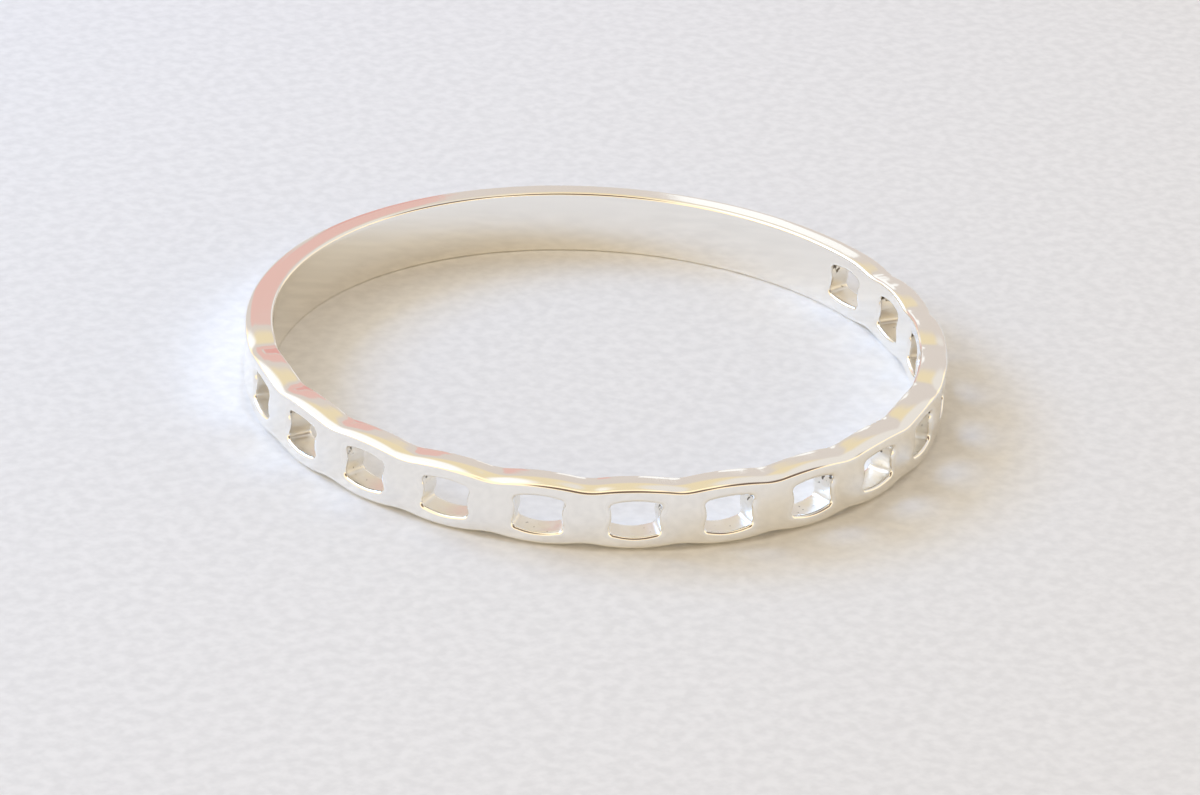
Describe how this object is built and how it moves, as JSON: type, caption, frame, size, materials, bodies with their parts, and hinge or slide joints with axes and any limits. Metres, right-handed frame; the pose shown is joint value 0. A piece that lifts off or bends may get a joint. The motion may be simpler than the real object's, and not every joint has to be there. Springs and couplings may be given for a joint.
{
  "type": "openwork ring",
  "caption": "Slim one-piece finger band with scalloped edges, pierced by a row of rectangular windows over its front and plain across its back.",
  "frame": {"origin": "on the ring's axis, in the plane of the lowest points of its lower edge", "axes": "+Z along the ring's axis, up when it lies on its side; -Y towards the middle of the openwork"},
  "size_m": [0.0188, 0.0188, 0.0018],
  "materials": {
    "polished_silver": "polished cast silver"
  },
  "bodies": {
    "root": {"ring_band": "polished_silver"}
  },
  "joints": []
}
